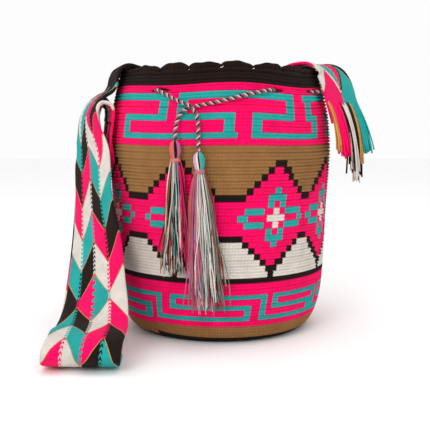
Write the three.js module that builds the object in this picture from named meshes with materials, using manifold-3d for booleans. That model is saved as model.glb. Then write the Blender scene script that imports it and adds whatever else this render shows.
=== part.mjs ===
// A crocheted bucket bag (mochila) standing on its base, in millimetres.
// +Z is up, the front of the bag looks along -Y, and +X is to the right of someone facing it.
// The origin is the middle of the flat base, on the surface that the bag stands on.
//
// The bag is one crocheted cloth: base, wall and scalloped rim. A woven strap is sewn to the
// rim at both sides. It lies across the mouth, falls over the left side, folds on the table and
// comes back up to its left end. A drawstring laced through eyelets is tied in front, and each
// of its two tails ends in a yarn tassel.

import * as THREE from 'three';
import { mergeVertices } from 'three/addons/utils/BufferGeometryUtils.js';
import Module from 'manifold-3d';

const wasm = await Module();
wasm.setup();

// ---------------------------------------------------------------- driving dimensions

// Outer face of the crocheted cloth: radius and height, from the edge of the flat base upwards.
const WALL_PROFILE = [
  [86, 0], [94, 1.6], [101, 6], [107, 14], [112, 26], [116.2, 45], [119, 80],
  [121.5, 140], [124.5, 185], [125, 205], [122.5, 238], [117.5, 262], [113, 280], [111.5, 288],
];
const CLOTH_THICKNESS = 4.5;
const SCALLOP_COUNT = 21;
const SCALLOP_HEIGHT = 3.5;
const SCALLOP_SIDES = 4;
const FIRST_SCALLOP_AZIMUTH = 9;
// The strap presses the scallops flat where it crosses the rim on both sides.
const PRESSED_AZIMUTH = 78;
const PRESSED_HALF = 28;
const RIM_HEIGHT = WALL_PROFILE[WALL_PROFILE.length - 1][1];

// Eyelets for the drawstring: azimuth in degrees, 0 at the front and positive to the right.
const EYELET_AZIMUTHS = [-35, 28, 57, 94, 133, 172, 211, 250];
const EYELET_HEIGHT = 264.5;
const EYELET_SIZE = { along: 16, through: 24, high: 8 };

const CORD_DIAMETER = 4;
const CORD_SIDES = 8;
const CORD_STEPS = 80;
const CORD_OUTSIDE = 120.3;
const CORD_INSIDE = 109.2;

const STRAP_WIDTH = 74;
const STRAP_THICKNESS = 4.5;
const FRINGE_THICKNESS = 4;
const FRINGE_STEPS = 3;
const STEPS_PER_POINT = 2;

const SEAM_YARN_DIAMETER = 1.2;
const SEAM_YARN_SIDES = 6;
const SEAM_STITCHES = 9;
const SEAM_WIDTH = 58;
const SEAM_HEIGHT = 4;
const SEAM_CLEARANCE = 1.3;

// Where each seam crosses the strap, as a share of its points from the right end, and the face
// that it lies on: 1 is the face that the strap turns outwards at its right end.
const RIGHT_SEAM_SHARE = 0.06;
const RIGHT_SEAM_FACE = 1;
const LEFT_SEAM_SHARE = 0.982;
const LEFT_SEAM_FACE = -1;
const TOUCHING_GAP = 0.4;

const TASSEL_SIDES = 14;

const COLOURS = {
  pink: 0xe5075a, teal: 0x1f9c94, tan: 0x9a7040, brown: 0x22140e, cream: 0xded2c4,
};

// ---------------------------------------------------------------- helpers

const group = new THREE.Group();

// A named piece of yarn or cloth: every material of this bag is matt and not metal.
function addPiece(name, geometry, colour) {
  const material = new THREE.MeshStandardMaterial({ color: colour, roughness: 0.9, metalness: 0 });
  const mesh = new THREE.Mesh(geometry, material);
  mesh.name = name;
  group.add(mesh);
  return mesh;
}

// A point at an azimuth round the bag, a distance from its axis and a height.
function around(azimuth, radius, height) {
  const angle = THREE.MathUtils.degToRad(azimuth);
  return new THREE.Vector3(radius * Math.sin(angle), -radius * Math.cos(angle), height);
}

// The positions of a geometry alone, with shared corners merged.
function mergedPositions(geometry) {
  const bare = geometry.clone();
  bare.deleteAttribute('normal');
  bare.deleteAttribute('uv');
  return mergeVertices(bare, 1e-4);
}

function toSolid(geometry) {
  const merged = mergedPositions(geometry);
  const vertProperties = Float32Array.from(merged.attributes.position.array);
  const triVerts = Uint32Array.from(merged.index.array);
  return new wasm.Manifold(new wasm.Mesh({ numProp: 3, vertProperties, triVerts }));
}

function toGeometry(solid) {
  const mesh = solid.getMesh();
  const geometry = new THREE.BufferGeometry();
  geometry.setAttribute('position', new THREE.BufferAttribute(mesh.vertProperties, 3));
  geometry.setIndex(new THREE.BufferAttribute(mesh.triVerts, 1));
  geometry.computeVertexNormals();
  return geometry;
}

// A ring of corners at every station, joined to the next ring and closed at both ends.
function loft(rings) {
  const sides = rings[0].length;
  const positions = rings.flat().flatMap((corner) => [corner.x, corner.y, corner.z]);
  const faces = [];
  for (let station = 0; station + 1 < rings.length; station += 1) {
    for (let side = 0; side < sides; side += 1) {
      const a = station * sides + side;
      const b = station * sides + ((side + 1) % sides);
      faces.push(a, b, b + sides, a, b + sides, a + sides);
    }
  }
  const last = (rings.length - 1) * sides;
  for (let side = 1; side + 1 < sides; side += 1) {
    faces.push(0, side + 1, side);
    faces.push(last, last + side, last + side + 1);
  }
  const geometry = new THREE.BufferGeometry();
  geometry.setAttribute('position', new THREE.Float32BufferAttribute(positions, 3));
  geometry.setIndex(faces);
  geometry.computeVertexNormals();
  return geometry;
}

// Curves through the points of a flat band. Each point gives the middle of the band, the
// direction from its front edge to its rear edge, and the width there.
function bandCurves(points) {
  return {
    middle: new THREE.CatmullRomCurve3(points.map(({ at }) => new THREE.Vector3(...at))),
    across: new THREE.CatmullRomCurve3(points.map(({ rear }) => new THREE.Vector3(...rear))),
  };
}

// The band's middle and its three directions at a share of its length, from 0 to 1.
function bandFrame({ middle, across }, share) {
  const place = middle.getPoint(share);
  const along = middle.getTangent(share);
  const rear = across.getPoint(share);
  rear.addScaledVector(along, -rear.dot(along)).normalize();
  const face = new THREE.Vector3().crossVectors(along, rear);
  return { place, along, rear, face };
}

function band(points, thickness, stepsPerPoint) {
  const curves = bandCurves(points);
  const widths = points.map(({ width }) => width ?? STRAP_WIDTH);
  const steps = (points.length - 1) * stepsPerPoint;
  const rings = [];
  for (let step = 0; step <= steps; step += 1) {
    const { place, rear, face } = bandFrame(curves, step / steps);
    const position = (step / steps) * (points.length - 1);
    const before = Math.min(Math.floor(position), points.length - 2);
    const width = THREE.MathUtils.lerp(widths[before], widths[before + 1], position - before);
    rings.push([[-1, -1], [1, -1], [1, 1], [-1, 1]].map(([side, level]) => place.clone()
      .addScaledVector(rear, side * width / 2)
      .addScaledVector(face, level * thickness / 2)));
  }
  return loft(rings);
}

// A round cord, cut square at both ends.
function tube(points, diameter, sides, steps) {
  const section = new THREE.Shape();
  for (let side = 0; side < sides; side += 1) {
    const angle = (2 * Math.PI * side) / sides;
    const x = (diameter / 2) * Math.cos(angle);
    const y = (diameter / 2) * Math.sin(angle);
    if (side === 0) section.moveTo(x, y);
    else section.lineTo(x, y);
  }
  section.closePath();
  const path = new THREE.CatmullRomCurve3(points);
  return new THREE.ExtrudeGeometry(section, { steps, extrudePath: path, curveSegments: 1 });
}

// ---------------------------------------------------------------- bag body

// The inner face of the cloth follows the outer one at the thickness of the cloth.
function innerProfile() {
  return WALL_PROFILE.map(([radius, height], index) => {
    const [r0, z0] = WALL_PROFILE[Math.max(index - 1, 0)];
    const [r1, z1] = WALL_PROFILE[Math.min(index + 1, WALL_PROFILE.length - 1)];
    const length = Math.hypot(r1 - r0, z1 - z0);
    const inwards = [-(z1 - z0) / length, (r1 - r0) / length];
    const isRim = index === WALL_PROFILE.length - 1;
    return [
      radius + inwards[0] * CLOTH_THICKNESS,
      isRim ? height : height + inwards[1] * CLOTH_THICKNESS,
    ];
  });
}

function bagBody() {
  const inner = innerProfile().reverse();
  inner[inner.length - 1][1] = CLOTH_THICKNESS;
  const outline = [[0, 0], ...WALL_PROFILE, ...inner, [0, CLOTH_THICKNESS]];
  const points = outline.map(([radius, height]) => new THREE.Vector2(radius, height));
  const cloth = new THREE.LatheGeometry(points, SCALLOP_SIDES * SCALLOP_COUNT);
  cloth.rotateX(Math.PI / 2);
  const corners = cloth.attributes.position;
  for (let index = 0; index < corners.count; index += 1) {
    if (corners.getZ(index) < RIM_HEIGHT - 1e-3) continue;
    const angle = Math.atan2(corners.getX(index), -corners.getY(index));
    const turn = angle - THREE.MathUtils.degToRad(FIRST_SCALLOP_AZIMUTH);
    const wave = SCALLOP_HEIGHT * 0.5 * (1 + Math.cos(SCALLOP_COUNT * turn));
    const fromStrap = Math.abs(Math.abs(THREE.MathUtils.radToDeg(angle)) - PRESSED_AZIMUTH);
    const rise = fromStrap < PRESSED_HALF ? 0 : wave;
    corners.setZ(index, RIM_HEIGHT + rise);
  }
  let solid = toSolid(cloth);
  for (const azimuth of EYELET_AZIMUTHS) {
    const hole = new THREE.BoxGeometry(EYELET_SIZE.along, EYELET_SIZE.through, EYELET_SIZE.high);
    const middle = around(azimuth, CORD_INSIDE + CLOTH_THICKNESS, EYELET_HEIGHT);
    hole.rotateZ(THREE.MathUtils.degToRad(azimuth));
    hole.translate(middle.x, middle.y, middle.z);
    solid = solid.subtract(toSolid(hole));
  }
  return toGeometry(solid);
}

addPiece('bag_body', bagBody(), COLOURS.pink);

// ---------------------------------------------------------------- strap

// From the loose right end, over the right rim, across the mouth, over the left rim, down the
// left side to the fold on the table, and back up underneath to the end sewn to the left wall.
const STRAP_ROUTE = [
  { at: [140, -34, 235], rear: [0.578, 0.816, 0] },
  { at: [134, -33, 256], rear: [0.578, 0.816, 0] },
  { at: [127.5, -31, 277], rear: [0.578, 0.816, 0] },
  { at: [120, -28, 288.6], rear: [0.57, 0.82, 0] },
  { at: [107, -25, 293.6], rear: [0.55, 0.835, 0] },
  { at: [91, -21, 291.6], rear: [0.5, 0.866, 0] },
  { at: [67, -16, 281.5], rear: [0.41, 0.91, 0] },
  { at: [35, -12, 272], rear: [0.28, 0.96, 0] },
  { at: [0, -11, 268.5], rear: [0.14, 0.99, 0] },
  { at: [-35, -12, 271.5], rear: [0, 1, 0] },
  { at: [-70, -16, 283], rear: [-0.12, 0.99, 0] },
  { at: [-93, -20, 290.6], rear: [-0.18, 0.984, 0] },
  { at: [-105, -23, 292.8], rear: [-0.21, 0.978, 0] },
  { at: [-113, -25, 289.2], rear: [-0.23, 0.973, 0] },
  { at: [-117, -26, 281], rear: [-0.24, 0.97, 0] },
  { at: [-118.8, -27, 272.5], rear: [-0.25, 0.968, 0] },
  { at: [-122.5, -28.5, 265.5], rear: [-0.26, 0.965, 0] },
  { at: [-130, -30, 260.5], rear: [-0.28, 0.96, 0] },
  { at: [-139, -31, 252.5], rear: [-0.32, 0.947, 0] },
  { at: [-145.5, -33, 238], rear: [-0.36, 0.933, 0] },
  { at: [-145, -37, 219], rear: [-0.47, 0.883, 0] },
  { at: [-140.5, -44, 195], rear: [-0.6, 0.8, 0] },
  { at: [-137.5, -58, 147], rear: [-0.62, 0.785, 0] },
  { at: [-131, -88, 91], rear: [-0.76, 0.65, 0] },
  { at: [-128.5, -120, 51], rear: [-0.83, 0.558, 0] },
  { at: [-127.5, -150, 35], rear: [-0.88, 0.475, 0] },
  { at: [-127, -184, 31.5], rear: [-0.97, 0.2, 0] },
  { at: [-128, -199, 27], rear: [-0.99, 0.06, 0] },
  { at: [-129.5, -205, 17.5], rear: [-1, 0, 0] },
  { at: [-131, -199, 8.6], rear: [-1, 0, 0] },
  { at: [-132, -185, 4.7], rear: [-0.99, 0.1, 0] },
  { at: [-133, -155, 6], rear: [-0.93, 0.368, 0] },
  { at: [-135, -120, 20], rear: [-0.87, 0.493, 0] },
  { at: [-137, -88, 49], rear: [-0.8, 0.6, 0] },
  { at: [-140, -60, 92], rear: [-0.7, 0.714, 0] },
  { at: [-142.8, -40.5, 144], rear: [-0.58, 0.815, 0] },
  { at: [-142.5, -29.5, 186], rear: [-0.52, 0.854, 0] },
  { at: [-142, -27, 219], rear: [-0.4, 0.917, 0] },
  { at: [-139, -28, 235], rear: [-0.34, 0.94, 0] },
  { at: [-134, -30, 246.5], rear: [-0.28, 0.96, 0] },
  { at: [-128.3, -31.3, 252], rear: [-0.25, 0.968, 0] },
  { at: [-122.8, -30.8, 248.5], rear: [-0.242, 0.97, 0] },
  { at: [-121.6, -30.6, 240], rear: [-0.242, 0.97, 0] },
  { at: [-122.8, -30.8, 232], rear: [-0.242, 0.97, 0] },
];
addPiece('strap', band(STRAP_ROUTE, STRAP_THICKNESS, STEPS_PER_POINT), COLOURS.teal);

// The warp yarns of the strap run on past its two ends as a loose fringe.
const RIGHT_FRINGE = [
  { at: [140.2, -34.1, 234.2], rear: [0.578, 0.816, 0] },
  { at: [145.5, -35, 214], rear: [0.59, 0.807, 0], width: 76 },
  { at: [148.5, -36, 195], rear: [0.6, 0.8, 0], width: 78 },
  { at: [149.5, -36.5, 175], rear: [0.62, 0.785, 0], width: 80 },
];
const LEFT_FRINGE = [
  { at: [-122.9, -30.8, 231], rear: [-0.242, 0.97, 0] },
  { at: [-124.6, -31.2, 215], rear: [-0.242, 0.97, 0] },
  { at: [-124.3, -31.1, 198], rear: [-0.242, 0.97, 0], width: 72 },
  { at: [-123.6, -31, 180], rear: [-0.242, 0.97, 0], width: 70 },
];
addPiece('strap_fringe_right', band(RIGHT_FRINGE, FRINGE_THICKNESS, FRINGE_STEPS), COLOURS.pink);
addPiece('strap_fringe_left', band(LEFT_FRINGE, FRINGE_THICKNESS, FRINGE_STEPS), COLOURS.pink);

// Sewing yarn that holds a strap end: one zigzag across a face of the strap.
function seamYarn(share, faceSide) {
  const { place, along, rear, face } = bandFrame(bandCurves(STRAP_ROUTE), share);
  const lift = (STRAP_THICKNESS + SEAM_YARN_DIAMETER) / 2 + SEAM_CLEARANCE;
  const points = [];
  for (let stitch = 0; stitch <= SEAM_STITCHES; stitch += 1) {
    const side = (stitch / SEAM_STITCHES - 0.5) * SEAM_WIDTH;
    const level = (stitch % 2 === 0 ? -0.5 : 0.5) * SEAM_HEIGHT;
    points.push(place.clone()
      .addScaledVector(rear, side)
      .addScaledVector(along, level)
      .addScaledVector(face, faceSide * lift));
  }
  return tube(points, SEAM_YARN_DIAMETER, SEAM_YARN_SIDES, 3 * SEAM_STITCHES);
}

addPiece('strap_seam_yarn_right', seamYarn(RIGHT_SEAM_SHARE, RIGHT_SEAM_FACE), COLOURS.brown);
addPiece('strap_seam_yarn_left', seamYarn(LEFT_SEAM_SHARE, LEFT_SEAM_FACE), COLOURS.brown);

// ---------------------------------------------------------------- drawstring

// The cord goes from the left tassel up to the knot, right along the front and in and out of the
// eyelets all the way round, out at the last one, through the knot and down to the right tassel.
const LEFT_TAIL_END = [-45, -126, 215.3];
const RIGHT_TAIL_END = [-21.5, -132.5, 203.8];
const DRAWSTRING_ROUTE = [
  new THREE.Vector3(...LEFT_TAIL_END),
  new THREE.Vector3(-44.3, -123.5, 226),
  new THREE.Vector3(-42, -121.2, 236),
  new THREE.Vector3(-37, -120.4, 243.5),
  new THREE.Vector3(-28, -121.2, 247.3),
  new THREE.Vector3(-16, -123, 249.8),
  new THREE.Vector3(-3, -123.6, 252.4),
  new THREE.Vector3(12, -122.4, 256),
  new THREE.Vector3(28, -118.7, 260.2),
  around(24.5, CORD_OUTSIDE, EYELET_HEIGHT),
  around(31.5, CORD_INSIDE, EYELET_HEIGHT),
  around(42.5, CORD_INSIDE - 0.5, EYELET_HEIGHT),
  around(53.5, CORD_INSIDE, EYELET_HEIGHT),
  around(60.5, CORD_OUTSIDE, EYELET_HEIGHT),
  around(75.5, CORD_OUTSIDE + 0.5, EYELET_HEIGHT),
  around(90.5, CORD_OUTSIDE, EYELET_HEIGHT),
  around(97.5, CORD_INSIDE, EYELET_HEIGHT),
  around(113.5, CORD_INSIDE - 0.5, EYELET_HEIGHT),
  around(129.5, CORD_INSIDE, EYELET_HEIGHT),
  around(136.5, CORD_OUTSIDE, EYELET_HEIGHT),
  around(152.5, CORD_OUTSIDE + 0.5, EYELET_HEIGHT),
  around(168.5, CORD_OUTSIDE, EYELET_HEIGHT),
  around(175.5, CORD_INSIDE, EYELET_HEIGHT),
  around(191.5, CORD_INSIDE - 0.5, EYELET_HEIGHT),
  around(207.5, CORD_INSIDE, EYELET_HEIGHT),
  around(214.5, CORD_OUTSIDE, EYELET_HEIGHT),
  around(230.5, CORD_OUTSIDE + 0.5, EYELET_HEIGHT),
  around(246.5, CORD_OUTSIDE, EYELET_HEIGHT),
  around(253.5, CORD_INSIDE, EYELET_HEIGHT),
  around(270, CORD_INSIDE - 0.5, EYELET_HEIGHT),
  around(296, CORD_INSIDE - 0.7, EYELET_HEIGHT),
  around(321.5, CORD_INSIDE, EYELET_HEIGHT),
  around(328.5, CORD_OUTSIDE, EYELET_HEIGHT),
  new THREE.Vector3(-50, -113.5, 257.5),
  new THREE.Vector3(-40, -121.2, 252.5),
  new THREE.Vector3(-30.5, -126.7, 248.5),
  new THREE.Vector3(-24, -127, 241),
  new THREE.Vector3(-22, -127, 230),
  new THREE.Vector3(-21.6, -129.5, 216),
  new THREE.Vector3(...RIGHT_TAIL_END),
];
addPiece(
  'drawstring_cord',
  tube(DRAWSTRING_ROUTE, CORD_DIAMETER, CORD_SIDES, CORD_STEPS),
  COLOURS.cream,
);

// ---------------------------------------------------------------- tassels

// A tassel hangs down from its origin, the top of its head: a knob of folded yarn, a bound neck
// and a skirt that spreads to its cut ends. It is flatter from front to back.
const TASSELS = [
  {
    side: 'left', top: [LEFT_TAIL_END[0], LEFT_TAIL_END[1], 214.6], lean: 0.3,
    head: 7, neck: 4.4, neckDrop: 18, skirt: 12.5, length: 135, flatness: 0.52,
  },
  {
    side: 'right', top: [RIGHT_TAIL_END[0], RIGHT_TAIL_END[1], 203.2], lean: 3.2,
    head: 7, neck: 4.6, neckDrop: 18, skirt: 17, length: 160, flatness: 0.42,
  },
];
const TIE_HEIGHT = 5;
const TIE_DEPTH = 1.3;
const TIE_CORNERS = 6;

function revolve(outline, flatness) {
  const points = outline.map(([radius, height]) => new THREE.Vector2(radius, height));
  const geometry = new THREE.LatheGeometry(points, TASSEL_SIDES);
  geometry.rotateX(Math.PI / 2);
  geometry.scale(1, flatness, 1);
  return geometry;
}

function placeTassel(mesh, { top, lean }) {
  mesh.position.set(...top);
  mesh.rotation.y = -THREE.MathUtils.degToRad(lean);
}

for (const tassel of TASSELS) {
  const { side, head, neck, neckDrop, skirt, length, flatness } = tassel;
  const yarn = revolve([
    [0, -length], [skirt, -length], [skirt * 0.97, -length * 0.8], [skirt * 0.8, -length * 0.5],
    [head * 0.95, -neckDrop - 14], [neck, -neckDrop - TIE_HEIGHT], [neck, -neckDrop],
    [head, -neckDrop * 0.6], [head * 0.85, -neckDrop * 0.25], [head * 0.45, 0], [0, 0],
  ], flatness);
  placeTassel(addPiece(`tassel_${side}`, yarn, COLOURS.teal), tassel);

  const inside = neck / Math.cos(Math.PI / TASSEL_SIDES) + TOUCHING_GAP / flatness;
  const wrap = [];
  for (let corner = 0; corner <= TIE_CORNERS; corner += 1) {
    const angle = (2 * Math.PI * corner) / TIE_CORNERS;
    wrap.push([
      inside + TIE_DEPTH * (1 + Math.cos(angle)),
      -neckDrop - TIE_HEIGHT / 2 + (TIE_HEIGHT / 2 - 0.5) * Math.sin(angle),
    ]);
  }
  placeTassel(addPiece(`tassel_${side}_tie`, revolve(wrap, flatness), COLOURS.pink), tassel);
}

export default group;
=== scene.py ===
# %% [markdown]
# # A Wayuu mochila
#
# This lesson builds a crocheted shoulder bag: a round wall of tapestry crochet with a scalloped
# rim, a woven strap that has flopped over the left side, and a drawstring tied in front with two
# yarn tassels. Each step says what the piece is and why it is made the way it is. Everything is
# in metres, with the bag standing on its flat base at the origin.

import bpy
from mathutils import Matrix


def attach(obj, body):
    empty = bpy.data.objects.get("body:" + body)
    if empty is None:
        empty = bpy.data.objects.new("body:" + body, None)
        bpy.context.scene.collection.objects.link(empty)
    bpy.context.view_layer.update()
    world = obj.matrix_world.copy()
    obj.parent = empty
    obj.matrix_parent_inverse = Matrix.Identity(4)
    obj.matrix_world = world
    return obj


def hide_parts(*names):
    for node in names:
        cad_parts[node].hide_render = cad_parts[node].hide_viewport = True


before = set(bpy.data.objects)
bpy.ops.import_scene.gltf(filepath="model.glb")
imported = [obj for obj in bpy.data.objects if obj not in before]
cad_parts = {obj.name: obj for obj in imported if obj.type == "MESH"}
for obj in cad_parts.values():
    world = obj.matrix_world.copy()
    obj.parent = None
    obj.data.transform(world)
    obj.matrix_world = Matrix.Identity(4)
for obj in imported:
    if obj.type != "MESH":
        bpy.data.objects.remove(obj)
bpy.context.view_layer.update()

# %% Tools used by every step
import math

import bmesh
import bpy
import numpy as np

MM = 0.001
PINK = (1.0, 0.0004, 0.13)
TEAL = (0.018, 0.4, 0.37)
TAN = (0.31, 0.15, 0.05)
BROWN = (0.014, 0.006, 0.004)
WHITE = (0.76, 0.7, 0.63)
GOLD = (0.62, 0.29, 0.06)
YARNS = np.array([PINK, TEAL, TAN, BROWN, WHITE, GOLD])
# The letters of the charts: pink, teal, tan, brown, white and gold.
P, T, N, B, W, G = range(6)


def piece_from_arrays(name, points, faces, colours):
    """A mesh from corner points, a list of equal-sided face arrays and one colour a face."""
    mesh = bpy.data.meshes.new(name)
    mesh.vertices.add(len(points))
    mesh.vertices.foreach_set("co", np.asarray(points, np.float32).ravel())
    sizes = np.concatenate([np.full(len(block), block.shape[1]) for block in faces])
    corners = np.concatenate([block.ravel() for block in faces])
    mesh.loops.add(len(corners))
    mesh.loops.foreach_set("vertex_index", corners.astype(np.int32))
    mesh.polygons.add(len(sizes))
    mesh.polygons.foreach_set("loop_start", (np.cumsum(sizes) - sizes).astype(np.int32))
    mesh.update(calc_edges=True)
    layer = mesh.color_attributes.new(name="yarn_colour", type="FLOAT_COLOR", domain="CORNER")
    full = np.ones((len(corners), 4), np.float32)
    full[:, :3] = np.repeat(colours, sizes, axis=0)
    layer.data.foreach_set("color", full.ravel())
    mesh.polygons.foreach_set("use_smooth", np.ones(len(sizes), bool))
    made = bpy.data.objects.new(name, mesh)
    bpy.context.collection.objects.link(made)
    return made


def add_uv(made, across, along, period=None):
    """A UV map from two numbers a point, which may start again after a period across."""
    corners = np.zeros(len(made.data.loops), np.int32)
    made.data.loops.foreach_get("vertex_index", corners)
    values = np.stack([across, along], 1)[corners].astype(float)
    if period:
        starts = np.zeros(len(made.data.polygons), np.int32)
        made.data.polygons.foreach_get("loop_start", starts)
        sizes = np.diff(np.r_[starts, len(corners)])
        first = np.repeat(values[starts, 0], sizes)
        values[:, 0] += period * np.round((first - values[:, 0]) / period)
    layer = made.data.uv_layers.new(name="threads")
    layer.data.foreach_set("uv", values.astype(np.float32).ravel())


def smooth_curve(points, per_span=24):
    """A centripetal Catmull-Rom curve; numbers after the first three are carried along."""
    points = np.asarray(points, float)
    ends = np.vstack([2 * points[0] - points[1], points, 2 * points[-1] - points[-2]])
    made = []
    for span in range(len(points) - 1):
        before, start, end, after = ends[span : span + 4]
        to_start = np.linalg.norm((start - before)[:3]) ** 0.5
        to_end = to_start + np.linalg.norm((end - start)[:3]) ** 0.5
        to_after = to_end + np.linalg.norm((after - end)[:3]) ** 0.5
        here = np.linspace(to_start, to_end, per_span, endpoint=False)[:, None]
        first = before + (start - before) * here / to_start
        second = start + (end - start) * (here - to_start) / (to_end - to_start)
        third = end + (after - end) * (here - to_end) / (to_after - to_end)
        early = first + (second - first) * here / to_end
        late = second + (third - second) * (here - to_start) / (to_after - to_start)
        made.append(early + (late - early) * (here - to_start) / (to_end - to_start))
    return np.vstack(made + [points[-1:]])


def even_steps(curve, count, *extra):
    """The curve, and anything given along it, at evenly spaced lengths."""
    run = np.r_[0, np.cumsum(np.linalg.norm(np.diff(curve, axis=0), axis=1))]
    want = np.linspace(0, run[-1], count)

    def pick(values):
        return np.stack([np.interp(want, run, column) for column in values.T], 1)

    return run[-1], pick(curve), *[pick(values) for values in extra]


def tubes(paths, radii, sides):
    """Closed tubes round many paths at once: paths is (tubes, steps, 3), radii (tubes, steps)."""
    paths = np.asarray(paths, float)
    count, steps = paths.shape[:2]
    along = np.gradient(paths, axis=1)
    along /= np.linalg.norm(along, axis=2, keepdims=True)
    first = np.cross(along, [0.31, 0.93, 0.19])
    first /= np.linalg.norm(first, axis=2, keepdims=True)
    second = np.cross(along, first)
    turn = np.linspace(0, 2 * np.pi, sides, endpoint=False)
    ring = (
        first[:, :, None] * np.cos(turn)[:, None] + second[:, :, None] * np.sin(turn)[:, None]
    ) * radii[:, :, None, None]
    points = (paths[:, :, None] + ring).reshape(-1, 3)
    index = np.arange(count * steps * sides).reshape(count, steps, sides)
    beside = np.roll(index, -1, axis=2)
    skin = np.stack([index[:, :-1], beside[:, :-1], beside[:, 1:], index[:, 1:]], -1)
    caps = np.concatenate([index[:, 0, ::-1], index[:, -1]])
    return points, [skin.reshape(-1, 4), caps], (steps - 1) * sides


def yarn_tubes(name, paths, radii, sides, colours):
    """Many yarns as one piece, with one colour a yarn."""
    points, faces, skin_faces = tubes(paths, np.asarray(radii, float), sides)
    colours = np.asarray(colours, float)
    face_colours = np.concatenate([np.repeat(colours, skin_faces, axis=0), colours, colours])
    made = piece_from_arrays(name, points, faces, face_colours)
    count, steps = np.asarray(paths).shape[:2]
    length = np.linalg.norm(np.diff(paths, axis=1), axis=2).cumsum(1)
    length = np.concatenate([np.zeros((count, 1)), length], 1)
    side = np.tile(np.linspace(0, 1, sides, endpoint=False), count * steps)
    add_uv(made, side, np.repeat(length.ravel() / MM, sides))
    return made


print("tools ready")

# %% [markdown]
# ## The camera
#
# The camera comes first, because everything after it is seen through it. It stands a little
# under a metre away and looks slightly down on the bag, as someone sitting at a table would.

# %% Place the camera
CAMERA_AT = (-0.0052, -0.9375, 0.2345)
CAMERA_DOWN = 6.45
bpy.ops.object.camera_add(
    location=CAMERA_AT, rotation=(math.radians(90 - CAMERA_DOWN), 0, 0)
)
camera = bpy.context.object
camera.name = "camera"
camera.data.lens = 68.15
camera.data.sensor_width = 36
bpy.context.scene.camera = camera
print("camera at", CAMERA_AT)

# %% [markdown]
# ## The yarn material
#
# Every piece is matt yarn, so one shared node group does the fine work: it turns the position
# into a slightly uneven colour and a fuzzy height for the bump. Each material then adds its own
# threads: V-shaped stitches on the crochet, ribs on the band, a twist on loose yarn.

# %% The shared fuzz of spun yarn
def feed(tree, node, inputs):
    """Gives each input its value, or links it to another node's output."""
    for slot, value in inputs.items():
        if isinstance(value, bpy.types.NodeSocket):
            tree.links.new(value, node.inputs[slot])
        else:
            node.inputs[slot].default_value = value


def add_node(tree, kind, inputs, operation=None):
    """A new node with its inputs fed."""
    made = tree.nodes.new(kind)
    if operation:
        made.operation = operation
    feed(tree, made, inputs)
    return made


fuzz = bpy.data.node_groups.new("yarn_fuzz", "ShaderNodeTree")
for name, way, kind in (
    ("Colour", "INPUT", "Color"), ("Threads", "INPUT", "Float"), ("Depth", "INPUT", "Float"),
    ("Colour", "OUTPUT", "Color"), ("Normal", "OUTPUT", "Vector"),
):
    fuzz.interface.new_socket(name, in_out=way, socket_type="NodeSocket" + kind)
given = fuzz.nodes.new("NodeGroupInput")
place = fuzz.nodes.new("ShaderNodeTexCoord")


def mottle(scale, detail, dark, light):
    """Noise of one grain, plain and stretched between a dark and a light factor."""
    noise = add_node(fuzz, "ShaderNodeTexNoise", {
        "Scale": scale, "Detail": detail, "Vector": place.outputs["Object"],
    })
    shade = add_node(fuzz, "ShaderNodeMapRange", {
        "From Min": 0.3, "From Max": 0.7, "To Min": dark, "To Max": light,
        "Value": noise.outputs["Fac"],
    })
    return noise.outputs["Fac"], shade.outputs["Result"]


fibres, fibre_shade = mottle(1700, 3, 0.78, 1.12)
patch_shade = mottle(60, 2, 0.9, 1.08)[1]
both = add_node(fuzz, "ShaderNodeMath", {0: fibre_shade, 1: patch_shade}, "MULTIPLY")
tint = add_node(
    fuzz, "ShaderNodeVectorMath",
    {0: given.outputs["Colour"], "Scale": both.outputs["Value"]}, "SCALE",
)
height = add_node(
    fuzz, "ShaderNodeMath", {0: fibres, 1: 0.35, 2: given.outputs["Threads"]}, "MULTIPLY_ADD"
)
bump = add_node(fuzz, "ShaderNodeBump", {
    "Strength": 0.7, "Distance": given.outputs["Depth"], "Height": height.outputs["Value"],
})
add_node(fuzz, "NodeGroupOutput", {
    "Colour": tint.outputs["Vector"], "Normal": bump.outputs["Normal"],
})
print("shared group:", fuzz.name)


# %% One material for each kind of yarn work
def wave(tree, side, across, up, along):
    """The height of parallel threads: 0.5 + 0.5 sin(2 pi (across * side + along * up))."""
    turn = add_node(tree, "ShaderNodeMath", {0: side, 1: 2 * math.pi * across}, "MULTIPLY")
    leaning = add_node(
        tree, "ShaderNodeMath", {0: up, 1: 2 * math.pi * along, 2: turn.outputs[0]},
        "MULTIPLY_ADD",
    )
    sine = add_node(tree, "ShaderNodeMath", {0: leaning.outputs[0]}, "SINE")
    half = add_node(tree, "ShaderNodeMath", {0: sine.outputs[0], 1: 0.5, 2: 0.5}, "MULTIPLY_ADD")
    return half.outputs[0]


def yarn_material(name, across, along, depth, mirrored=False):
    """Matt yarn whose threads cross the UV map across times and run along times a unit."""
    made = bpy.data.materials.new(name)
    made.use_nodes = True
    tree = made.node_tree
    colour = tree.nodes.new("ShaderNodeAttribute")
    colour.attribute_name = "yarn_colour"
    uv = tree.nodes.new("ShaderNodeUVMap")
    uv.uv_map = "threads"
    split = add_node(tree, "ShaderNodeSeparateXYZ", {"Vector": uv.outputs["UV"]})
    side = split.outputs["X"]
    if mirrored:
        side = add_node(tree, "ShaderNodeMath", {0: side, 1: 0.5}, "PINGPONG").outputs[0]
    spun = tree.nodes.new("ShaderNodeGroup")
    spun.node_tree = fuzz
    feed(tree, spun, {
        "Colour": colour.outputs["Color"], "Depth": depth,
        "Threads": wave(tree, side, across, split.outputs["Y"], along),
    })
    feed(tree, tree.nodes["Principled BSDF"], {
        "Roughness": 0.88, "Specular IOR Level": 0.1, "Sheen Weight": 0.03,
        "Sheen Roughness": 0.6, "Base Color": spun.outputs["Colour"],
        "Normal": spun.outputs["Normal"],
    })
    return made


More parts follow.
